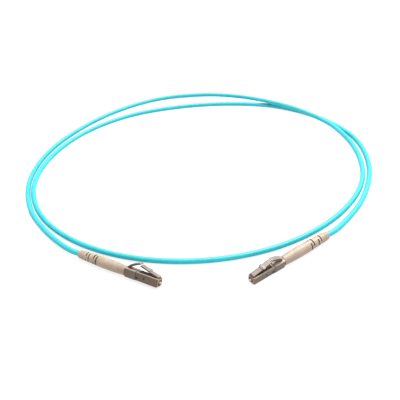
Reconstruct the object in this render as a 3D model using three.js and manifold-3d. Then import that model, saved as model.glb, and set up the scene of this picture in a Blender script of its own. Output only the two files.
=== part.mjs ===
// Fiber optic patch cord: one jacketed cable lying in a loop, with an LC plug on each end.
// Millimetres, +Z up. The origin is on the floor, below the middle of the two plugs.
// Each plug is built in its own frame: +X runs along its axis towards the ferrule's tip,
// +Z is the latch side, and x = 0 is on the cable just behind the boot.
import * as THREE from "three";
import Module from "manifold-3d";

const wasm = await Module();
wasm.setup();

// Driving dimensions of the plug, along X.
const BOOT_TAIL = 1.2;
const BOOT_END = 32.0;
const BODY_START = 32.2;
const JOINT = 39.0;
const NOSE = 52.3;
const TIP = 53.6;

// Driving dimensions across the plug.
const SIDE = 4.4;
const REAR_SIDE = 4.6;
const CORNER = 0.3;
const FERRULE_R = 0.625;
const NOSE_BORE_R = 1.45;
const FLANGE_BORE_R = 1.8;
const SPRING_BORE_R = 1.42;
const GUIDE_BORE_R = 0.85;
const BARREL_R = 1.25;
const BOOT_BORE_R = 1.6;
const BOOT_MID_R = 2.85;

// Latch and trigger: hinge lines at their roots, and their widths.
const LATCH_HINGE = [51.3, 2.75];
const LATCH_WIDTH = 2.7;
const LATCH_EAR_WIDTH = 3.6;
const TRIGGER_HINGE = [33.9, 2.82];
const TRIGGER_WIDTH = 2.5;

// Cable: jacket, aramid yarn and tight buffer, as radii.
const JACKET_R = 1.5;
const JACKET_BORE_R = 1.0;
const YARN_R = 0.93;
const YARN_BORE_R = 0.55;
const BUFFER_R = 0.45;
const JACKET_END = 19.5;
const BUFFER_END = 41.4;

// Where each plug lies: the point x = 0 on its axis, its heading and its roll.
const LEFT = { origin: [-64.89, 17.24, 2.95], heading: -34.5, roll: -25 };
const RIGHT = { origin: [64.96, 12.08, 2.87], heading: -147, roll: -8 };

const ROUND = 16;
const deg = THREE.MathUtils.degToRad;

const materials = {
  jacket: [0x2fc6cc, 0.45, 0],
  aramid: [0xd9b64a, 0.8, 0],
  buffer: [0xf2f0ea, 0.5, 0],
  boot: [0xe9d9c4, 0.55, 0],
  plug: [0x9c8b7e, 0.4, 0],
  ceramic: [0xeeece6, 0.15, 0],
  steel: [0xb9bbbd, 0.3, 1],
  ptfe: [0xf5f5f0, 0.4, 0],
};

function mesh(name, geometry, look) {
  const [color, roughness, metalness] = materials[look];
  const material = new THREE.MeshStandardMaterial({ color, roughness, metalness });
  const made = new THREE.Mesh(geometry, material);
  made.name = name;
  return made;
}

// A geometry as a manifold-3d solid, and back.
function toSolid(geometry) {
  const plain = geometry.index ? geometry.toNonIndexed() : geometry;
  const position = plain.getAttribute("position");
  const seen = new Map();
  const points = [];
  const faces = [];
  for (let i = 0; i < position.count; i++) {
    const p = [position.getX(i), position.getY(i), position.getZ(i)];
    const key = p.map((value) => Math.round(value * 1e4)).join(",");
    if (!seen.has(key)) {
      seen.set(key, points.length / 3);
      points.push(...p);
    }
    faces.push(seen.get(key));
  }
  const kept = [];
  for (let i = 0; i < faces.length; i += 3) {
    const [a, b, c] = faces.slice(i, i + 3);
    if (a !== b && b !== c && c !== a) kept.push(a, b, c);
  }
  return new wasm.Manifold(
    new wasm.Mesh({
      numProp: 3,
      vertProperties: new Float32Array(points),
      triVerts: new Uint32Array(kept),
    }),
  );
}

function toGeometry(solid) {
  const made = solid.getMesh();
  const geometry = new THREE.BufferGeometry();
  geometry.setAttribute("position", new THREE.BufferAttribute(made.vertProperties, 3));
  geometry.setIndex(new THREE.BufferAttribute(made.triVerts, 1));
  return geometry;
}

// A solid of revolution about X, from [x, radius] points listed from the tail along the outside.
function turned(profile) {
  const points = profile.map(([x, r]) => new THREE.Vector2(r, x));
  return new THREE.LatheGeometry(points, ROUND).rotateZ(-Math.PI / 2);
}

// A ring about X: the outside is listed tail to nose, the inside nose to tail.
function ring(outside, inside) {
  return turned([...outside, ...inside, outside[0]]);
}

function rod(from, to, radius) {
  return turned([
    [from, 0],
    [from, radius],
    [to, radius],
    [to, 0],
  ]);
}

function box(x, y, z) {
  const made = new THREE.BoxGeometry(x[1] - x[0], y[1] - y[0], z[1] - z[0]);
  return made.translate((x[0] + x[1]) / 2, (y[0] + y[1]) / 2, (z[0] + z[1]) / 2);
}

// A plate of the given width across Y, from its outline in X and Z.
function plate(outline, width) {
  const shape = new THREE.Shape(outline.map(([x, z]) => new THREE.Vector2(x, z)));
  const made = new THREE.ExtrudeGeometry(shape, { depth: width, bevelEnabled: false });
  return made.rotateX(Math.PI / 2).translate(0, width / 2, 0);
}

// A square bar along X with chamfered corners. Each section is [x, inset of each side].
function bar(width, sections) {
  const points = [];
  for (const [x, inset] of sections) {
    const h = width / 2 - inset.side;
    const low = -width / 2 + inset.bottom;
    const high = width / 2 - inset.top;
    points.push(
      [x, h, low + CORNER],
      [x, h, high - CORNER],
      [x, h - CORNER, high],
      [x, CORNER - h, high],
      [x, -h, high - CORNER],
      [x, -h, low + CORNER],
      [x, CORNER - h, low],
      [x, h - CORNER, low],
    );
  }
  const index = [];
  const last = sections.length - 1;
  for (let i = 0; i < last; i++) {
    for (let k = 0; k < 8; k++) {
      const a = i * 8 + k;
      const b = i * 8 + ((k + 1) % 8);
      index.push(a, b, b + 8, a, b + 8, a + 8);
    }
  }
  for (let k = 1; k < 7; k++) {
    index.push(0, k + 1, k);
    index.push(last * 8, last * 8 + k, last * 8 + k + 1);
  }
  const geometry = new THREE.BufferGeometry();
  geometry.setAttribute("position", new THREE.Float32BufferAttribute(points.flat(), 3));
  geometry.setIndex(index);
  return geometry;
}

const square = { side: 0, bottom: 0, top: 0 };

// The front shell: square, bored for the ferrule's flange and the adapter's sleeve.
function plugHousing() {
  let solid = toSolid(
    bar(SIDE, [
      [JOINT + 0.1, square],
      [NOSE - 0.7, square],
      [NOSE, { side: 0.3, bottom: 0.5, top: 0.12 }],
    ]),
  );
  solid = solid.subtract(toSolid(rod(JOINT - 1, 46.2, FLANGE_BORE_R)));
  solid = solid.subtract(toSolid(rod(46, 47.2, 0.95)));
  solid = solid.subtract(toSolid(rod(47, NOSE + 1, NOSE_BORE_R)));
  solid = solid.subtract(toSolid(box([39.4, 40.6], [-3, 3], [-1.15, -0.35])));
  return toGeometry(solid);
}

// The sprung latch: a sloping arm with two ears that lock behind the adapter's window.
function latch() {
  const [hx, hz] = LATCH_HINGE;
  const arm = plate(
    [
      [hx + 0.25, hz - 0.4],
      [hx + 0.5, hz - 0.1],
      [hx + 0.45, hz + 0.25],
      [hx, hz + 0.45],
      [46.7, 4.1],
      [46.5, 4.45],
      [44.0, 5.0],
      [41.2, 5.75],
      [40.8, 5.65],
      [40.65, 5.3],
      [40.9, 4.88],
      [44.6, 4.1],
      [46.9, 3.4],
      [hx - 0.7, hz - 0.1],
      [hx - 0.3, hz - 0.4],
    ],
    LATCH_WIDTH,
  );
  const ears = plate(
    [
      [46.2, 3.9],
      [46.1, 4.65],
      [44.8, 4.9],
      [44.8, 4.25],
    ],
    LATCH_EAR_WIDTH,
  );
  return toGeometry(toSolid(arm).add(toSolid(ears)));
}

// The rear body: a square block, a barrel the cable is crimped to, and the tube that snaps
// into the front shell.
function rearBody() {
  let solid = toSolid(
    bar(REAR_SIDE, [
      [BODY_START, { side: 0.12, bottom: 0.55, top: 0.1 }],
      [BODY_START + 0.8, square],
      [JOINT, square],
    ]),
  );
  solid = solid.add(toSolid(rod(21, BODY_START + 1, BARREL_R)));
  solid = solid.add(toSolid(rod(JOINT - 1, 41, FLANGE_BORE_R - 0.08)));
  solid = solid.add(toSolid(box([39.55, 40.4], [-1.85, 1.85], [-1.0, -0.5])));
  solid = solid.subtract(toSolid(rod(20, 34, GUIDE_BORE_R)));
  solid = solid.subtract(toSolid(rod(33.6, 42, SPRING_BORE_R)));
  return toGeometry(solid);
}

// The trigger: a springy arm that rises over the latch's tip and presses it down.
function trigger() {
  const [hx, hz] = TRIGGER_HINGE;
  const outline = [
    [hx - 0.25, hz - 0.4],
    [hx + 0.3, hz - 0.4],
    [hx + 0.8, hz],
    [35.5, 3.35],
    [36.7, 4.05],
    [38.4, 4.85],
    [39.8, 5.5],
    [40.5, 5.75],
    [40.85, 6.1],
    [40.7, 6.5],
    [40.0, 6.62],
    [38.2, 5.98],
    [36.1, 5.15],
    [34.6, 4.25],
    [hx - 0.45, hz + 0.45],
    [hx - 0.6, hz - 0.05],
  ];
  return toGeometry(toSolid(plate(outline, TRIGGER_WIDTH)));
}

function ferrule() {
  return turned([
    [44, 0],
    [44, FERRULE_R],
    [TIP - 0.35, FERRULE_R],
    [TIP, FERRULE_R - 0.28],
    [TIP, 0],
  ]);
}

// The collar that holds the ferrule. The spring pushes on its back.
function ferruleFlange() {
  return ring(
    [
      [42.3, 0.85],
      [43.4, 0.85],
      [43.4, 1.62],
      [45.6, 1.62],
      [46.12, 1.1],
    ],
    [
      [46.12, FERRULE_R + 0.03],
      [42.3, FERRULE_R + 0.03],
    ],
  );
}

// The coil spring between the rear body and the ferrule's collar.
function spring() {
  const turns = 8;
  const points = [];
  const from = 33.8;
  const to = 43.2;
  for (let i = 0; i <= turns * 10; i++) {
    const t = i / (turns * 10);
    const a = t * turns * 2 * Math.PI;
    points.push(new THREE.Vector3(from + (to - from) * t, 1.12 * Math.cos(a), 1.12 * Math.sin(a)));
  }
  const wire = new THREE.Shape();
  wire.absarc(0, 0, 0.14, 0, 2 * Math.PI);
  return new THREE.ExtrudeGeometry(wire, {
    steps: turns * 10,
    extrudePath: new THREE.CatmullRomCurve3(points),
    curveSegments: 5,
    bevelEnabled: false,
  });
}

// The clear tube that leads the buffered fibre to the ferrule.
function guideTube() {
  return ring(
    [
      [27, 0.66],
      [42.2, 0.66],
    ],
    [
      [42.2, 0.5],
      [27, 0.5],
    ],
  );
}

// The metal sleeve crimped over the jacket, the yarn and the barrel.
function crimpSleeve() {
  return ring(
    [
      [16.6, 1.86],
      [29.6, 1.86],
    ],
    [
      [29.6, 1.58],
      [16.6, 1.58],
    ],
  );
}

// The yarn's end, spread over the barrel under the crimp sleeve.
function yarnEnd() {
  return ring(
    [
      [19.7, 0.95],
      [20.9, 1.52],
      [29.2, 1.52],
    ],
    [
      [29.2, 1.3],
      [20.95, 1.3],
      [20.3, 0.8],
      [19.7, 0.6],
    ],
  );
}

// The boot: a tapering sleeve with slots cut in turn from above and below and from the sides.
function boot() {
  let solid = toSolid(
    ring(
      [
        [BOOT_TAIL, 1.98],
        [2.2, 2.15],
        [4, 2.38],
        [8, 2.48],
        [12, 2.62],
        [16, 2.8],
        [18, BOOT_MID_R],
        [23, BOOT_MID_R],
        [28, 2.68],
        [BOOT_END, 2.5],
      ],
      [
        [BOOT_END, 1.95],
        [16.2, 1.95],
        [15.4, BOOT_BORE_R],
        [BOOT_TAIL, BOOT_BORE_R],
      ],
    ),
  );
  const slot = 0.28;
  for (const x of [7.4, 12.5]) {
    solid = solid.subtract(toSolid(box([x - slot, x + slot], [-3, 3], [0.9, 3])));
    solid = solid.subtract(toSolid(box([x - slot, x + slot], [-3, 3], [-3, -0.9])));
  }
  for (const x of [9.15, 14.3]) {
    solid = solid.subtract(toSolid(box([x - slot, x + slot], [0.9, 3], [-3, 3])));
    solid = solid.subtract(toSolid(box([x - slot, x + slot], [-3, -0.9], [-3, 3])));
  }
  return toGeometry(solid);
}

function plug(side, place) {
  const group = new THREE.Group();
  group.name = side + "_plug";
  group.add(
    mesh(side + "_plug_housing", plugHousing(), "plug"),
    mesh(side + "_latch", latch(), "plug"),
    mesh(side + "_rear_body", rearBody(), "plug"),
    mesh(side + "_trigger", trigger(), "plug"),
    mesh(side + "_ferrule", ferrule(), "ceramic"),
    mesh(side + "_ferrule_flange", ferruleFlange(), "steel"),
    mesh(side + "_spring", spring(), "steel"),
    mesh(side + "_guide_tube", guideTube(), "ptfe"),
    mesh(side + "_crimp_sleeve", crimpSleeve(), "steel"),
    mesh(side + "_yarn_end", yarnEnd(), "aramid"),
    mesh(side + "_boot", boot(), "boot"),
  );
  group.rotation.set(deg(place.roll), 0, deg(place.heading), "ZYX");
  group.position.set(...place.origin);
  return group;
}

// The cable's route between the two plugs, centreline points on the floor or above it.
// It goes round the loop nearly twice. On its first pass round the back right it rises
// over the strand that lies on the floor there.
const FREE_ROUTE = [
  [-75.1, 26.8, 2.4], [-87.6, 43.5, 1.75], [-99.6, 65.8, 1.55], [-106.9, 99.8, 1.5],
  [-101.5, 136.4, 1.5], [-83.8, 169.4, 1.5], [-57.2, 196.4, 1.5], [-24.2, 212, 1.55],
  [9.3, 210.6, 2.1], [35.9, 197.6, 3.7], [59.2, 178.6, 5], [80.2, 158, 4.6], [97.2, 132.9, 2.7],
  [103.6, 98, 1.65], [96.4, 60.1, 1.5], [74, 29.1, 1.5], [41.8, 9.1, 1.5], [4.9, 2.6, 1.5],
  [-32.9, 9.3, 1.5], [-66.8, 28.4, 1.5], [-91.4, 57.3, 1.5], [-102.7, 92.5, 1.5],
  [-98.2, 129.7, 1.5], [-78.9, 162.9, 1.5], [-47.8, 184.8, 1.5], [-10.7, 192.3, 1.5],
  [28.4, 189.3, 1.5], [64.4, 175.9, 1.5], [91.6, 149.5, 1.5], [107.2, 114.2, 1.5],
  [105.6, 76.1, 1.5], [91.9, 42.9, 1.65], [74.7, 20.6, 2.3],
];

// A point on a plug's axis.
function onAxis(place, x) {
  const a = deg(place.heading);
  const [px, py, pz] = place.origin;
  return [px + x * Math.cos(a), py + x * Math.sin(a), pz];
}

// The cable's centreline. Its samples are spaced by its points, so they follow them closely.
class Route extends THREE.CatmullRomCurve3 {
  getPointAt(u, target) {
    return this.getPoint(u, target);
  }
  getTangentAt(u, target) {
    return this.getTangent(u, target);
  }
}

// A tube along the cable's route that ends the given distance inside each plug.
function cableTube(outer, inner, sides, end) {
  const points = [
    onAxis(LEFT, end),
    onAxis(LEFT, 0.5),
    onAxis(LEFT, -4),
    ...FREE_ROUTE,
    onAxis(RIGHT, -4),
    onAxis(RIGHT, 0.5),
    onAxis(RIGHT, end),
  ];
  const path = new Route(points.map((p) => new THREE.Vector3(...p)), false, "centripetal");
  const ringPoint = (r, i) => {
    const a = ((i + 0.5) * 2 * Math.PI) / sides;
    return new THREE.Vector2(r * Math.cos(a), r * Math.sin(a));
  };
  const around = [...Array(sides).keys()];
  const shape = new THREE.Shape(around.map((i) => ringPoint(outer, i)));
  if (inner) shape.holes.push(new THREE.Path(around.map((i) => ringPoint(inner, i))));
  return new THREE.ExtrudeGeometry(shape, {
    steps: 80,
    extrudePath: path,
    bevelEnabled: false,
  });
}

const cord = new THREE.Group();
cord.name = "fiber_optic_patch_cord";
cord.add(
  plug("left", LEFT),
  plug("right", RIGHT),
  mesh("cable_jacket", cableTube(JACKET_R, JACKET_BORE_R, 8, JACKET_END), "jacket"),
  mesh("strength_yarn", cableTube(YARN_R, YARN_BORE_R, 8, JACKET_END), "aramid"),
  mesh("fibre_buffer", cableTube(BUFFER_R, 0, 6, BUFFER_END), "buffer"),
);

export default cord;
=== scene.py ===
import math
import bpy
import bmesh
from mathutils import Matrix, Vector


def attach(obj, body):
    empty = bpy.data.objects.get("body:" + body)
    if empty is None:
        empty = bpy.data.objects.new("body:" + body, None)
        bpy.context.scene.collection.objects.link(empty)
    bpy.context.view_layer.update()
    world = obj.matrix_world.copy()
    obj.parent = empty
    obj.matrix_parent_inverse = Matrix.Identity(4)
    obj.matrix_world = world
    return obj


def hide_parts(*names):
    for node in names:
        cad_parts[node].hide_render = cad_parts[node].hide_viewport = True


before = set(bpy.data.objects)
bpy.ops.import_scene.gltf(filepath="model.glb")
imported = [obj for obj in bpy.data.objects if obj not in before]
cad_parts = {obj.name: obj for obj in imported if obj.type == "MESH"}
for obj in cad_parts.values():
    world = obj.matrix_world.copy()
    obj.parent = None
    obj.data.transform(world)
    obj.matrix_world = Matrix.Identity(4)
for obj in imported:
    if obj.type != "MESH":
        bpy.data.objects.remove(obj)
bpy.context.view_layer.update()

MM = 0.001
SIDES = ("left", "right")

# ---------------------------------------------------------------- camera
CAMERA_AT = (0.00129, -0.21424, 0.1808)
LENS = 50.4
SENSOR = 36.0
CLIP_START = 0.01
PITCH = math.radians(33.40)
ROLL = math.radians(-5.78)
YAW = math.radians(0.05)
cam_data = bpy.data.cameras.new("camera")
cam_data.sensor_width = SENSOR
cam_data.lens = LENS
cam_data.clip_start = CLIP_START
cam = bpy.data.objects.new("camera", cam_data)
cam.matrix_world = (
    Matrix.Translation(CAMERA_AT)
    @ Matrix.Rotation(YAW, 4, "Z")
    @ Matrix.Rotation(math.pi / 2 - PITCH, 4, "X")
    @ Matrix.Rotation(ROLL, 4, "Z")
)
bpy.context.scene.collection.objects.link(cam)
bpy.context.scene.camera = cam

# ---------------------------------------------------------------- where things lie
# The plugs' places: a point on the axis in millimetres, then heading and roll in degrees.
# In a plug's own frame +X runs towards the ferrule's tip and +Z is the latch side.
PLUGS = {
    "left": ((-64.89, 17.24, 2.95), -34.5, -25),
    "right": ((64.96, 12.08, 2.87), -147, -8),
}


def place(side):
    """The matrix from a plug's own frame in millimetres to the world in metres."""
    origin, heading, roll = PLUGS[side]
    return (
        Matrix.Scale(MM, 4)
        @ Matrix.Translation(origin)
        @ Matrix.Rotation(math.radians(heading), 4, "Z")
        @ Matrix.Rotation(math.radians(roll), 4, "X")
    )


def on_axis(side, x):
    """A point on a plug's axis, in millimetres in the world."""
    return place(side) @ Vector((x, 0, 0)) / MM


# The cable's route between the plugs, in millimetres, the same points as in the CAD.
FREE_ROUTE = [
    (-75.1, 26.8, 2.4), (-87.6, 43.5, 1.75), (-99.6, 65.8, 1.55), (-106.9, 99.8, 1.5),
    (-101.5, 136.4, 1.5), (-83.8, 169.4, 1.5), (-57.2, 196.4, 1.5), (-24.2, 212, 1.55),
    (9.3, 210.6, 2.1), (35.9, 197.6, 3.7), (59.2, 178.6, 5), (80.2, 158, 4.6),
    (97.2, 132.9, 2.7), (103.6, 98, 1.65), (96.4, 60.1, 1.5), (74, 29.1, 1.5),
    (41.8, 9.1, 1.5), (4.9, 2.6, 1.5), (-32.9, 9.3, 1.5), (-66.8, 28.4, 1.5),
    (-91.4, 57.3, 1.5), (-102.7, 92.5, 1.5), (-98.2, 129.7, 1.5), (-78.9, 162.9, 1.5),
    (-47.8, 184.8, 1.5), (-10.7, 192.3, 1.5), (28.4, 189.3, 1.5), (64.4, 175.9, 1.5),
    (91.6, 149.5, 1.5), (107.2, 114.2, 1.5), (105.6, 76.1, 1.5), (91.9, 42.9, 1.65),
    (74.7, 20.6, 2.3),
]


def catmull_rom(points, per_span):
    """Points on the centripetal Catmull-Rom curve through the given points."""
    pts = [Vector(p) for p in points]
    pts = [2 * pts[0] - pts[1]] + pts + [2 * pts[-1] - pts[-2]]
    out = []
    for p0, p1, p2, p3 in zip(pts, pts[1:], pts[2:], pts[3:]):
        d0, d1, d2 = ((b - a).length ** 0.5 for a, b in ((p0, p1), (p1, p2), (p2, p3)))
        t1 = ((p1 - p0) / d0 - (p2 - p0) / (d0 + d1) + (p2 - p1) / d1) * d1
        t2 = ((p2 - p1) / d1 - (p3 - p1) / (d1 + d2) + (p3 - p2) / d2) * d1
        c2 = -3 * p1 + 3 * p2 - 2 * t1 - t2
        c3 = 2 * p1 - 2 * p2 + t1 + t2
        for k in range(per_span):
            t = k / per_span
            out.append(p1 + t1 * t + c2 * t * t + c3 * t ** 3)
    out.append(pts[-2])
    return out


# ---------------------------------------------------------------- materials
# Noise cells in a millimetre, from the broad mottling down to the bump's grain.
MOTTLE = 0.16
SPECKLE = 1.3
GRAIN = 5.0
NOISE_ROUGHNESS = 0.55
# How much the speckle adds to the mottling, and the sums where the dark and light ends lie.
SPECKLE_SHARE = 0.35
MOTTLE_ENDS = (0.45, 0.9)
# The heights in a plug's frame between which the orange-brown colour and the painted highlight of
# the plug's top come in.
WARM_RISE = (-1.6, 1.2)
TOP_HIGHLIGHT_RISE = (1.82, 2.12)
TOP_HIGHLIGHT_SHARE = 0.8
# The pointiness at which the pale edges start and are full: partly worn edges, partly a painted
# highlight where light catches them.
WEAR_AND_HIGHLIGHT_EDGE = (0.52, 0.62)
WEAR_AND_HIGHLIGHT_SHARE = 0.55
# How far the gloss varies to either side of a surface's own roughness.
GLOSS_SWING = (-0.06, 0.08)
BUMP_STRENGTH = 0.6
GLOW_RADIUS = (0.6, 1.0, 1.0)
GLOW_DEPTH = 0.0006


def noise(tree, coords, scale, detail=3.0):
    node = tree.nodes.new("ShaderNodeTexNoise")
    node.inputs["Scale"].default_value = scale
    node.inputs["Detail"].default_value = detail
    node.inputs["Roughness"].default_value = NOISE_ROUGHNESS
    tree.links.new(coords, node.inputs["Vector"])
    return node.outputs["Fac"]


def remap(tree, value, low, high, to_low, to_high):
    node = tree.nodes.new("ShaderNodeMapRange")
    node.inputs["From Min"].default_value = low
    node.inputs["From Max"].default_value = high
    node.inputs["To Min"].default_value = to_low
    node.inputs["To Max"].default_value = to_high
    tree.links.new(value, node.inputs["Value"])
    return node.outputs["Result"]


def mixed(tree, factor, a, b):
    """A colour between a and b. Either may be a plain colour or another node's output."""
    node = tree.nodes.new("ShaderNodeMix")
    node.data_type = "RGBA"
    tree.links.new(factor, node.inputs["Factor"])
    for socket, value in ((node.inputs[6], a), (node.inputs[7], b)):
        if isinstance(value, bpy.types.NodeSocket):
            tree.links.new(value, socket)
        else:
            socket.default_value = (*value, 1)
    return node.outputs[2]


def surface(name, dark, light, rough, per_mm, grain=0.02, specular=0.5, wear_and_edge_highlight=None, tint=None,
            rim=None, metallic=0.0, streak=None, coat=0.0, glow=0.0):
    """A moulded or drawn surface: mottled colour, uneven gloss and a fine grain.

    per_mm is the number of object units in a millimetre. grain is the bump's height in
    millimetres. The edge colour shows where the surface is pointy: partly worn edges, partly a
    painted highlight where light catches them. tint is (colour, from x, to x) for a colour that
    grows along the plug and towards its top. rim is a painted highlight: the paler colour of the
    plug's top, where light from above falls. streak squeezes the mottling along one axis."""
    mat = bpy.data.materials.new(name)
    mat.use_nodes = True
    tree = mat.node_tree
    bsdf = tree.nodes["Principled BSDF"]
    bsdf.inputs["Metallic"].default_value = metallic
    bsdf.inputs["Specular IOR Level"].default_value = specular
    bsdf.inputs["Coat Weight"].default_value = coat
    coords = tree.nodes.new("ShaderNodeTexCoord").outputs["Object"]
    if streak:
        stretch = tree.nodes.new("ShaderNodeMapping")
        stretch.inputs["Scale"].default_value = streak
        tree.links.new(coords, stretch.inputs["Vector"])
        mottled = stretch.outputs["Vector"]
    else:
        mottled = coords
    broad = noise(tree, mottled, MOTTLE / per_mm)
    fine = noise(tree, mottled, SPECKLE / per_mm, 4)
    both = tree.nodes.new("ShaderNodeMath")
    both.operation = "MULTIPLY_ADD"
    both.inputs[1].default_value = SPECKLE_SHARE
    tree.links.new(fine, both.inputs[0])
    tree.links.new(broad, both.inputs[2])
    colour = mixed(tree, remap(tree, both.outputs[0], *MOTTLE_ENDS, 0, 1), dark, light)
    if tint or rim:
        apart = tree.nodes.new("ShaderNodeSeparateXYZ")
        tree.links.new(coords, apart.inputs[0])
    # Orange-brown towards the nose, more so higher up the plug.
    if tint:
        shade, start, end = tint
        along = remap(tree, apart.outputs["X"], start, end, 0, 1)
        up = remap(tree, apart.outputs["Z"], *WARM_RISE, 0, 1)
        warm_share = tree.nodes.new("ShaderNodeMath")
        warm_share.operation = "MULTIPLY"
        tree.links.new(along, warm_share.inputs[0])
        tree.links.new(up, warm_share.inputs[1])
        colour = mixed(tree, warm_share.outputs[0], colour, shade)
    # Painted highlight: the plug's top is painted paler where light from above falls on it.
    if rim:
        high = remap(tree, apart.outputs["Z"], *TOP_HIGHLIGHT_RISE, 0, TOP_HIGHLIGHT_SHARE)
        colour = mixed(tree, high, colour, rim)
    # Sharp edges are paler: partly worn edges, partly a painted highlight where light catches
    # them.
    if wear_and_edge_highlight:
        shape = tree.nodes.new("ShaderNodeNewGeometry").outputs["Pointiness"]
        colour = mixed(tree, remap(tree, shape, *WEAR_AND_HIGHLIGHT_EDGE, 0, WEAR_AND_HIGHLIGHT_SHARE), colour, wear_and_edge_highlight)
    tree.links.new(colour, bsdf.inputs["Base Color"])
    glossy, dull = (rough + swing for swing in GLOSS_SWING)
    tree.links.new(remap(tree, fine, 0.3, 0.7, glossy, dull), bsdf.inputs["Roughness"])
    bump = tree.nodes.new("ShaderNodeBump")
    bump.inputs["Strength"].default_value = BUMP_STRENGTH
    bump.inputs["Distance"].default_value = grain * MM
    tree.links.new(noise(tree, coords, GRAIN / per_mm), bump.inputs["Height"])
    tree.links.new(bump.outputs["Normal"], bsdf.inputs["Normal"])
    if glow:
        bsdf.inputs["Subsurface Weight"].default_value = glow
        bsdf.inputs["Subsurface Radius"].default_value = GLOW_RADIUS
        bsdf.inputs["Subsurface Scale"].default_value = GLOW_DEPTH
    return mat


# The plugs' pieces measure in millimetres. The cable and the CAD's nodes measure in metres.
PIECE = 1.0
NODE = 0.001
# The orange-brown colour that grows towards the nose and the plug's top: its colour, where it
# starts and where it is full.
WARM = ((0.12, 0.05, 0.022), 46.0, 53.0)
# Painted highlight on the housing: rim paints its top paler; its pale edges are partly wear,
# partly painted highlight.
plug_mat = surface("plug_plastic", (0.061, 0.0405, 0.0255), (0.084, 0.0575, 0.038), 0.38, PIECE,
                   wear_and_edge_highlight=(0.3, 0.24, 0.19), tint=WARM, rim=(0.27, 0.21, 0.16))
# Painted shade: a near-black copy of the plug plastic for the boot's slot floors, the housing's
# trough, windows and round marks, and the part of the rear body inside the housing.
painted_shade_mat = surface("painted_shade_plastic", (0.026, 0.018, 0.01), (0.036, 0.025, 0.015), 0.6, PIECE,
                     specular=0.2)
# Painted shade: a darker copy of the arm plastic for the arms' flanks and undersides, where shade
# falls.
painted_shade_flank_mat = surface("painted_shade_flank_plastic", (0.061, 0.043, 0.031), (0.084, 0.061, 0.046), 0.45, PIECE,
                    specular=0.3)
# Painted light: a paler copy of the plug plastic for the housing's end face and the bore behind
# it.
painted_light_nose_mat = surface("painted_light_nose_plastic", (0.17, 0.112, 0.08), (0.22, 0.152, 0.112), 0.42, PIECE,
                   wear_and_edge_highlight=(0.36, 0.27, 0.2))
# Painted light: the latch and trigger take a paler copy of the plug plastic, for their tops lit
# from above.
painted_light_arm_mat = surface("painted_light_arm_plastic", (0.13, 0.102, 0.086), (0.17, 0.138, 0.116), 0.4, PIECE,
                  wear_and_edge_highlight=(0.36, 0.3, 0.25))
boot_mat = surface("boot_plastic", (0.22, 0.166, 0.122), (0.3, 0.232, 0.174), 0.46, PIECE,
                   wear_and_edge_highlight=(0.42, 0.35, 0.28), glow=0.12, grain=0.03)
# Painted shade: the zirconia is greyed well below its own white, so the ferrule reads as shaded
# inside the bore.
ceramic_mat = surface("zirconia", (0.27, 0.262, 0.252), (0.33, 0.322, 0.31), 0.16, PIECE,
                      grain=0.002, coat=0.3)
jacket_mat = surface("jacket", (0.009, 0.305, 0.355), (0.013, 0.37, 0.425), 0.45, NODE, grain=0.02,
                     specular=0.45, glow=0.1)
metal_mat = surface("nickel", (0.55, 0.54, 0.52), (0.68, 0.67, 0.65), 0.28, NODE, metallic=1.0,
                    streak=(0.2, 1, 1), grain=0.004)
wire_mat = surface("spring_wire", (0.5, 0.5, 0.5), (0.66, 0.66, 0.65), 0.24, NODE, metallic=1.0,
                   grain=0.003)
yarn_mat = surface("aramid", (0.5, 0.34, 0.06), (0.85, 0.64, 0.2), 0.75, NODE,
                   streak=(1, 1, 0.15), grain=0.08)
buffer_mat = surface("buffer", (0.78, 0.77, 0.72), (0.87, 0.86, 0.82), 0.35, NODE, grain=0.004)
tube_mat = surface("guide_tube", (0.8, 0.8, 0.78), (0.9, 0.9, 0.88), 0.3, NODE, grain=0.004,
                   glow=0.3)


# ---------------------------------------------------------------- mesh helpers
SHARP_ANGLE = math.radians(32)
BEVEL_ANGLE = math.radians(25)
CORNER_STEPS = 5


def piece(name, mesh, side, mat, body, node, parts=()):
    """A finished piece in a plug's own frame: it rides on a body and replaces a CAD node.

    parts are (material, test) pairs. A face takes the first material whose test it passes, or
    else mat."""
    obj = bpy.data.objects.new(name, mesh)
    bpy.context.scene.collection.objects.link(obj)
    obj.matrix_world = place(side)
    mesh.materials.clear()
    mesh.materials.append(mat)
    for other, _ in parts:
        mesh.materials.append(other)
    for face in mesh.polygons:
        hits = [k + 1 for k, (_, test) in enumerate(parts) if test(face)]
        face.material_index = hits[0] if hits else 0
    mesh.shade_smooth()
    mesh.set_sharp_from_angle(angle=SHARP_ANGLE)
    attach(obj, body)
    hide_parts(node)
    return obj


def from_bmesh(name, bm):
    bmesh.ops.recalc_face_normals(bm, faces=bm.faces)
    mesh = bpy.data.meshes.new(name)
    bm.to_mesh(mesh)
    bm.free()
    return mesh


def loft(name, rings, closed=False):
    """A closed skin over rings of points. It is capped, or joined end to end if closed."""
    bm = bmesh.new()
    rows = [[bm.verts.new(p) for p in ring] for ring in rings]
    count = len(rows[0])
    pairs = list(zip(rows, rows[1:]))
    if closed:
        pairs.append((rows[-1], rows[0]))
    for low, high in pairs:
        for k in range(count):
            n = (k + 1) % count
            bm.faces.new((low[k], low[n], high[n], high[k]))
    if not closed:
        bm.faces.new(rows[0][::-1])
        bm.faces.new(rows[-1])
    return from_bmesh(name, bm)


def circle(x, radius, count):
    """A ring of points round the plug's axis."""
    angles = [2 * math.pi * k / count for k in range(count)]
    return [(x, radius * math.cos(a), radius * math.sin(a)) for a in angles]


def turned(name, profile, count=48):
    """A solid of revolution about the plug's axis, from (x, radius) pairs."""
    return loft(name, [circle(x, r, count) for x, r in profile])


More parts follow.
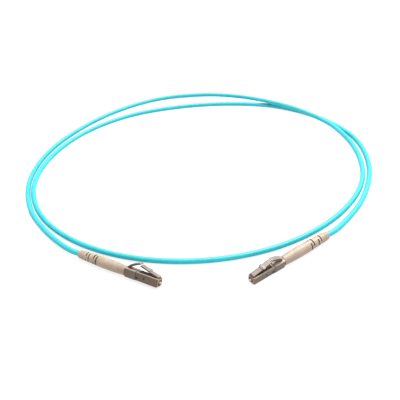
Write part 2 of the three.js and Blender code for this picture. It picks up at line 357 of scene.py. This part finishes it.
def rounded(x, half, low, high, radius):
    """A rounded rectangle across the plug's axis."""
    corners = ((half, high, 0), (-half, high, 90), (-half, low, 180), (half, low, 270))
    out = []
    for y, z, start in corners:
        cy = y - math.copysign(radius, y)
        cz = z - (radius if z == high else -radius)
        for k in range(CORNER_STEPS + 1):
            a = math.radians(start + 90 * k / CORNER_STEPS)
            out.append((x, cy + radius * math.cos(a), cz + radius * math.sin(a)))
    return out


def block(name, sections):
    """A block along the plug's axis, from the rounded rectangles across it."""
    return loft(name, [rounded(*section) for section in sections])


def slab(name, outline, width, bevel=0.12):
    """A plate across the plug with softened edges, from its outline in X and Z."""
    bm = bmesh.new()
    low = [bm.verts.new((x, -width / 2, z)) for x, z in outline]
    high = [bm.verts.new((x, width / 2, z)) for x, z in outline]
    bm.faces.new(low)
    bm.faces.new(high[::-1])
    for k in range(len(low)):
        n = (k + 1) % len(low)
        bm.faces.new((low[k], high[k], high[n], low[n]))
    bmesh.ops.recalc_face_normals(bm, faces=bm.faces)
    rim = [e for e in bm.edges if e.calc_face_angle(0) > BEVEL_ANGLE]
    bmesh.ops.bevel(bm, geom=rim, offset=bevel, segments=3, profile=0.5, affect="EDGES",
                    clamp_overlap=True)
    return from_bmesh(name, bm)


def box(x, y, z):
    """A plain box to cut or join with, from its range along each axis."""
    bm = bmesh.new()
    bmesh.ops.create_cube(bm, size=1)
    size = (x[1] - x[0], y[1] - y[0], z[1] - z[0])
    middle = ((x[0] + x[1]) / 2, (y[0] + y[1]) / 2, (z[0] + z[1]) / 2)
    bmesh.ops.scale(bm, verts=bm.verts, vec=size)
    bmesh.ops.translate(bm, verts=bm.verts, vec=middle)
    return from_bmesh("cut", bm)


def combined(name, base, steps):
    """The base mesh after a list of ("UNION" or "DIFFERENCE", mesh) steps."""
    scene = bpy.context.scene
    main = bpy.data.objects.new(name, base)
    scene.collection.objects.link(main)
    tools = []
    for kind, mesh in steps:
        tool = bpy.data.objects.new("tool", mesh)
        scene.collection.objects.link(tool)
        mod = main.modifiers.new("cut", "BOOLEAN")
        mod.operation = kind
        mod.solver = "EXACT"
        mod.object = tool
        tools.append(tool)
    bpy.context.view_layer.update()
    graph = bpy.context.evaluated_depsgraph_get()
    result = bpy.data.meshes.new_from_object(main.evaluated_get(graph))
    result.name = name
    for obj in [main] + tools:
        bpy.data.objects.remove(obj)
    return result


# ---------------------------------------------------------------- cable
JACKET_R = 1.5
SPAN_STEPS = 10
# Where the cable's axis lies on each plug's, from its end in the plug to just behind the boot.
STRAIGHT = (19.5, 0.5, -4)
centre = catmull_rom(
    [on_axis("left", x) for x in STRAIGHT]
    + FREE_ROUTE
    + [on_axis("right", x) for x in reversed(STRAIGHT)],
    SPAN_STEPS,
)
curve = bpy.data.curves.new("cable", "CURVE")
curve.dimensions = "3D"
curve.bevel_depth = JACKET_R * MM
curve.bevel_resolution = 8
curve.use_fill_caps = True
spline = curve.splines.new("POLY")
spline.points.add(len(centre) - 1)
for point, p in zip(spline.points, centre):
    point.co = (p.x * MM, p.y * MM, max(p.z, JACKET_R) * MM, 1)
spline.use_smooth = True
cable = bpy.data.objects.new("cable", curve)
bpy.context.scene.collection.objects.link(cable)
curve.materials.append(jacket_mat)
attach(cable, "cord")
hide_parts("cable_jacket")


# ---------------------------------------------------------------- boot
BOOT_PROFILE = [
    (1.2, 1.72), (1.24, 1.86), (1.36, 1.97), (1.6, 2.03), (2.2, 2.15), (3.0, 2.28), (4, 2.38),
    (6, 2.43), (8, 2.48), (10, 2.55), (12, 2.62), (14, 2.71), (16, 2.8), (18, 2.85), (23, 2.85),
    (25, 2.8), (28, 2.68), (31.5, 2.52), (31.8, 2.48), (31.94, 2.4), (32, 2.28),
]
BOOT_BORE = ((32, 1.95), (16.2, 1.95), (15.4, 1.6), (1.2, 1.6))
TOP_SLOTS = (7.4, 12.5)
SIDE_SLOTS = (9.15, 14.3)
SLOT_HALF = 0.28
SLOT_WALL = 0.06
# A slot's floor is flat, this far from the axis, and never cuts through to the bore.
SLOT_FLAT = 0.9
SLOT_FLOOR_R = 1.64
# The round sink mark: its place along and round the boot, its radius, depth and soft edge.
DIMPLE_X = 17.5
DIMPLE_TURN = math.radians(150)
DIMPLE_R = 0.75
DIMPLE_DEPTH = 0.12
DIMPLE_EDGE = 0.25
BOOT_MID_R = 2.85
# The rings of the boot's mesh: an even run of them, and more at each slot wall and the mark.
RING_START = 1.6
RING_STEP = 0.35
RINGS = 86
RING_POINTS = 128
WALL_STEPS = (-0.34, -0.3, -0.26, -0.22, 0.22, 0.26, 0.3, 0.34)
CLOSEST_RINGS = 0.015


def boot_radius(x):
    """The boot's outer radius without its slots."""
    for (x0, r0), (x1, r1) in zip(BOOT_PROFILE, BOOT_PROFILE[1:]):
        if x <= x1:
            return r0 + (r1 - r0) * max(0.0, x - x0) / (x1 - x0)
    return BOOT_PROFILE[-1][1]


def smooth_step(t):
    """From 0 to 1 with a soft start and end."""
    t = min(max(t, 0.0), 1.0)
    return t * t * (3 - 2 * t)


def boot_skin(x, angle):
    """The boot's outer radius, with its slots and the round sink mark."""
    radius = boot_radius(x)
    for slots, share in ((TOP_SLOTS, abs(math.sin(angle))), (SIDE_SLOTS, abs(math.cos(angle)))):
        floor = max(SLOT_FLAT / max(share, 0.05), SLOT_FLOOR_R)
        if floor >= radius:
            continue
        for at in slots:
            cut = smooth_step((SLOT_HALF + SLOT_WALL - abs(x - at)) / (2 * SLOT_WALL))
            radius = radius + (floor - radius) * cut
    turn = (angle - DIMPLE_TURN + math.pi) % (2 * math.pi) - math.pi
    away = math.hypot(x - DIMPLE_X, turn * BOOT_MID_R)
    return radius - DIMPLE_DEPTH * smooth_step((DIMPLE_R - away) / DIMPLE_EDGE)


def boot_mesh():
    """The boot, as one skin over its outside and its stepped bore."""
    xs = {x for x, _ in BOOT_PROFILE}
    xs |= {RING_START + RING_STEP * k for k in range(RINGS)}
    xs |= {at + away for at in TOP_SLOTS + SIDE_SLOTS for away in WALL_STEPS}
    xs |= {DIMPLE_X + 0.1 * k for k in range(-9, 10)}
    rings = []
    for x in sorted(xs):
        if rings and x - rings[-1][0][0] < CLOSEST_RINGS:
            continue
        ring = []
        for k in range(RING_POINTS):
            a = 2 * math.pi * k / RING_POINTS
            r = boot_skin(x, a)
            ring.append((x, r * math.cos(a), r * math.sin(a)))
        rings.append(ring)
    rings += [circle(x, r, RING_POINTS) for x, r in BOOT_BORE]
    return loft("boot_sleeve", rings, closed=True)


# ---------------------------------------------------------------- plug
SIDE = 4.4
REAR_SIDE = 4.6
BODY_START = 32.2
JOINT = 39.0
NOSE = 52.3
TIP = 53.6
CORNER = 0.34
NOSE_BORE_R = 1.45
NOSE_MOUTH_R = 1.63
FERRULE_R = 0.625
# The snap windows, the round marks, the groove round the latch's root and the trough.
WINDOW_X = (39.4, 40.6)
WINDOW_Z = (-1.15, -0.35)
MARK_X = 44.2
MARK_R = 0.42
MARK_DEPTH = 0.25
GROOVE_X = (47.6, 52.02)
GROOVE_FRONT_X = (51.86, 52.02)
GROOVE_Z = (1.93, 3.0)
TROUGH_X = (40.3, 50.3)
TROUGH_Y = (-1.55, 1.55)
TROUGH_Z = (1.9, 3.0)
LATCH_HINGE = (51.3, 2.75)
LATCH_WIDTH = 2.7
EAR_WIDTH = 3.6
TRIGGER_HINGE = (33.9, 2.82)
TRIGGER_WIDTH = 2.5


def section(x, width, side=0.0, bottom=0.0, top=0.0):
    """A square section of a body, drawn in by the given amounts."""
    half = width / 2
    return (x, half - side, -half + bottom, half - top, CORNER)


def round_mark(low, high):
    """A short cylinder across the plug, to cut a round mark in the housing's side."""
    mesh = turned("mark", [(low, MARK_R), (high, MARK_R)])
    mesh.transform(Matrix.Translation((MARK_X, 0, 0)) @ Matrix.Rotation(math.pi / 2, 4, "Z"))
    return mesh


def front_shell():
    """The front housing, with its bores, windows, marks, trough and latch root."""
    body = block("front_shell", [
        section(JOINT + 0.1, SIDE, 0.08, 0.08, 0.08),
        section(JOINT + 0.14, SIDE, 0.03, 0.03, 0.03),
        section(JOINT + 0.22, SIDE),
        section(NOSE - 0.9, SIDE),
        section(NOSE - 0.6, SIDE, 0.05, 0.12, 0.01),
        section(NOSE - 0.3, SIDE, 0.14, 0.28, 0.03),
        section(NOSE - 0.1, SIDE, 0.22, 0.42, 0.07),
        section(NOSE, SIDE, 0.34, 0.56, 0.18),
    ])
    # Each row is x, half width, bottom, top and corner radius.
    pad = block("pad", [(50.4, 1.0, 1.9, 2.22, 0.1), (50.7, 1.22, 1.9, 2.28, 0.1),
                        (51.7, 1.22, 1.9, 2.28, 0.1), (51.8, 1.15, 1.9, 2.24, 0.1)])
    return combined("front_shell", body, [
        ("DIFFERENCE", turned("bore", [(38, 1.8), (46.2, 1.8)])),
        ("DIFFERENCE", turned("bore", [(46, 0.95), (47.2, 0.95)])),
        ("DIFFERENCE", turned("bore", [(47, NOSE_BORE_R), (52.15, NOSE_BORE_R),
                                       (52.5, NOSE_MOUTH_R)], count=64)),
        ("DIFFERENCE", box(WINDOW_X, (-3, 3), WINDOW_Z)),
        ("DIFFERENCE", box(GROOVE_X, (1.38, 1.6), GROOVE_Z)),
        ("DIFFERENCE", box(GROOVE_X, (-1.6, -1.38), GROOVE_Z)),
        ("DIFFERENCE", box(GROOVE_FRONT_X, (-1.5, 1.5), GROOVE_Z)),
        ("DIFFERENCE", box(TROUGH_X, TROUGH_Y, TROUGH_Z)),
        ("DIFFERENCE", round_mark(-3, -SIDE / 2 + MARK_DEPTH)),
        ("DIFFERENCE", round_mark(SIDE / 2 - MARK_DEPTH, 3)),
        ("UNION", pad),
    ])


def latch_arm():
    """The latch, a sloping arm with two ears."""
    hx, hz = LATCH_HINGE
    arm = slab("latch_arm", [
        (hx + 0.25, hz - 0.4), (hx + 0.5, hz - 0.1), (hx + 0.45, hz + 0.25), (hx, hz + 0.45),
        (46.7, 4.1), (46.5, 4.45), (44.0, 5.0), (41.2, 5.75), (40.8, 5.65), (40.65, 5.3),
        (40.9, 4.88), (44.6, 4.1), (46.9, 3.4), (hx - 0.7, hz - 0.1), (hx - 0.3, hz - 0.4),
    ], LATCH_WIDTH, 0.1)
    ears = slab("ears", [(46.2, 3.9), (46.1, 4.65), (44.8, 4.9), (44.8, 4.25)], EAR_WIDTH, 0.07)
    return combined("latch_arm", arm, [("UNION", ears)])


def rear_shell():
    """The rear body, with its barrel, snap tube and trigger root."""
    body = block("rear_shell", [
        section(BODY_START, REAR_SIDE, 0.16, 0.6, 0.16),
        section(BODY_START + 0.08, REAR_SIDE, 0.08, 0.5, 0.08),
        section(BODY_START + 0.45, REAR_SIDE, 0.02, 0.2, 0.03),
        section(BODY_START + 0.8, REAR_SIDE),
        section(JOINT - 0.1, REAR_SIDE),
        section(JOINT - 0.03, REAR_SIDE, 0.03, 0.03, 0.03),
        section(JOINT, REAR_SIDE, 0.1, 0.1, 0.1),
    ])
    pad = block("pad", [(33.56, 1.15, 2.0, 2.32, 0.08), (33.62, 1.2, 2.0, 2.345, 0.08),
                        (34.1, 1.2, 2.0, 2.345, 0.08), (34.2, 1.15, 2.0, 2.32, 0.08)])
    return combined("rear_shell", body, [
        ("UNION", turned("barrel", [(21, 1.2), (21.1, 1.25), (33.2, 1.25)])),
        ("UNION", turned("snap", [(JOINT - 1, 1.72), (40.9, 1.72), (41, 1.66)])),
        ("UNION", box((39.55, 40.4), (-1.84, 1.84), (-1.0, -0.5))),
        ("UNION", pad),
        ("DIFFERENCE", turned("bore", [(20, 0.85), (34, 0.85)])),
        ("DIFFERENCE", turned("bore", [(33.6, 1.42), (42, 1.42)])),
    ])


def trigger_arm():
    """The trigger, the arm that rises over the tip of the latch."""
    hx, hz = TRIGGER_HINGE
    return slab("trigger_arm", [
        (hx - 0.25, hz - 0.4), (hx + 0.3, hz - 0.4), (hx + 0.8, hz), (35.5, 3.35),
        (36.7, 4.05), (38.4, 4.85), (39.8, 5.5), (40.5, 5.75), (40.85, 6.1), (40.7, 6.5),
        (40.0, 6.62), (38.2, 5.98), (36.1, 5.15), (34.6, 4.25), (hx - 0.45, hz + 0.45),
        (hx - 0.6, hz - 0.05),
    ], TRIGGER_WIDTH)


def ferrule_pin():
    """The ferrule, with its chamfered tip."""
    return turned("ferrule_pin", [
        (44, 0.6), (44.03, FERRULE_R), (TIP - 0.4, FERRULE_R), (TIP - 0.34, 0.61),
        (TIP - 0.06, 0.38), (TIP - 0.01, 0.32), (TIP, 0.2),
    ], count=64)


SLOTTED_X = (5, 15.5)
SLOT_DEPTH = 0.12
NOSE_BORE_X = 48
END_FACE = 0.12


# Painted shade: these faces take the near-black shade plastic.
def in_slot(face):
    """On the floor of one of the boot's slots."""
    p = face.center
    away = math.hypot(p.y, p.z)
    slotted = SLOTTED_X[0] < p.x < SLOTTED_X[1]
    return slotted and SLOT_FLOOR_R - 0.01 < away < boot_radius(p.x) - SLOT_DEPTH


# Painted shade: these faces take the near-black shade plastic.
def in_recess(face):
    """Inside the housing's trough, windows or round marks, but not its bores."""
    p = face.center
    trough = 1.85 < p.z < 2.17 and abs(p.y) < 1.62 and 40.2 < p.x < 52.1
    sides = 1.9 < abs(p.y) < 2.18 and abs(p.z) < 1.3 and 39.3 < p.x < 45
    return trough or sides


# Painted light: these faces take the paler nose plastic.
def in_nose(face):
    """On the housing's end face, or in the bore behind it."""
    p = face.center
    bore = p.x > NOSE_BORE_X and math.hypot(p.y, p.z) < NOSE_MOUTH_R + 0.01
    return bore or p.x > NOSE - END_FACE


# Painted shade: these faces take the near-black shade plastic.
def in_snap(face):
    """On the part of the rear body that is inside the housing."""
    return face.center.x > JOINT


# Painted shade: these faces take the darker flank plastic.
def off_top(face):
    """On the flanks or the underside of the latch or the trigger."""
    return face.normal.z < -0.25 or abs(face.normal.y) > 0.8


for side in SIDES:
    piece(side + "_boot_sleeve", boot_mesh(), side, boot_mat, "cord", side + "_boot",
          parts=[(painted_shade_mat, in_slot)])
    piece(side + "_front_shell", front_shell(), side, plug_mat, "cord", side + "_plug_housing",
          parts=[(painted_shade_mat, in_recess), (painted_light_nose_mat, in_nose)])
    piece(side + "_rear_shell", rear_shell(), side, plug_mat, "cord", side + "_rear_body",
          parts=[(painted_shade_mat, in_snap)])
    piece(side + "_latch_arm", latch_arm(), side, painted_light_arm_mat, side + "_latch", side + "_latch",
          parts=[(painted_shade_flank_mat, off_top)])
    piece(side + "_trigger_arm", trigger_arm(), side, painted_light_arm_mat, side + "_trigger",
          side + "_trigger", parts=[(painted_shade_flank_mat, off_top)])
    piece(side + "_ferrule_pin", ferrule_pin(), side, ceramic_mat, side + "_ferrule",
          side + "_ferrule")

NODE_MATERIALS = {
    "ferrule_flange": metal_mat, "spring": wire_mat, "guide_tube": tube_mat,
    "crimp_sleeve": metal_mat, "yarn_end": yarn_mat,
}
finishes = {side + "_" + name: mat for side in SIDES for name, mat in NODE_MATERIALS.items()}
finishes |= {"strength_yarn": yarn_mat, "fibre_buffer": buffer_mat}
for name, mat in finishes.items():
    node = bpy.data.objects[name]
    if not node.material_slots:
        node.data.materials.append(None)
    for node_slot in node.material_slots:
        node_slot.link = "OBJECT"
        node_slot.material = mat

# ---------------------------------------------------------------- stage
FLOOR_HALF = 60
FLOOR_GREY = 0.26
FLOOR_GLOW = 0.76
WORLD_LIGHT = 1.0
LIGHT_TARGET = (0, 0.06, 0)
corners = [(x * FLOOR_HALF, y * FLOOR_HALF, 0) for x, y in ((-1, -1), (1, -1), (1, 1), (-1, 1))]
floor_mesh = bpy.data.meshes.new("floor")
floor_mesh.from_pydata(corners, [], [(0, 1, 2, 3)])
floor = bpy.data.objects.new("floor", floor_mesh)
bpy.context.scene.collection.objects.link(floor)
floor_mat = bpy.data.materials.new("floor")
floor_mat.use_nodes = True
floor_bsdf = floor_mat.node_tree.nodes["Principled BSDF"]
floor_bsdf.inputs["Base Color"].default_value = (FLOOR_GREY, FLOOR_GREY, FLOOR_GREY, 1)
floor_bsdf.inputs["Roughness"].default_value = 0.7
floor_bsdf.inputs["Specular IOR Level"].default_value = 0.2
floor_bsdf.inputs["Emission Color"].default_value = (1, 1, 1, 1)
floor_bsdf.inputs["Emission Strength"].default_value = FLOOR_GLOW
floor_mesh.materials.append(floor_mat)

world = bpy.data.worlds.new("world")
bpy.context.scene.world = world
world.use_nodes = True
sky = world.node_tree.nodes["Background"]
sky.inputs["Color"].default_value = (1, 1, 1, 1)
sky.inputs["Strength"].default_value = WORLD_LIGHT


def softbox(name, location, size, energy):
    """A square area light that faces the middle of the loop."""
    data = bpy.data.lights.new(name, "AREA")
    data.energy = energy
    data.size = size
    lamp = bpy.data.objects.new(name, data)
    lamp.location = location
    aim = Vector(LIGHT_TARGET) - Vector(location)
    lamp.rotation_euler = aim.to_track_quat("-Z", "Y").to_euler()
    bpy.context.scene.collection.objects.link(lamp)


softbox("top", (0.25, 0.3, 0.78), 0.7, 18.5)
softbox("front", (0.5, -0.6, 0.6), 0.6, 1.0)
bpy.context.scene.view_settings.view_transform = "Standard"
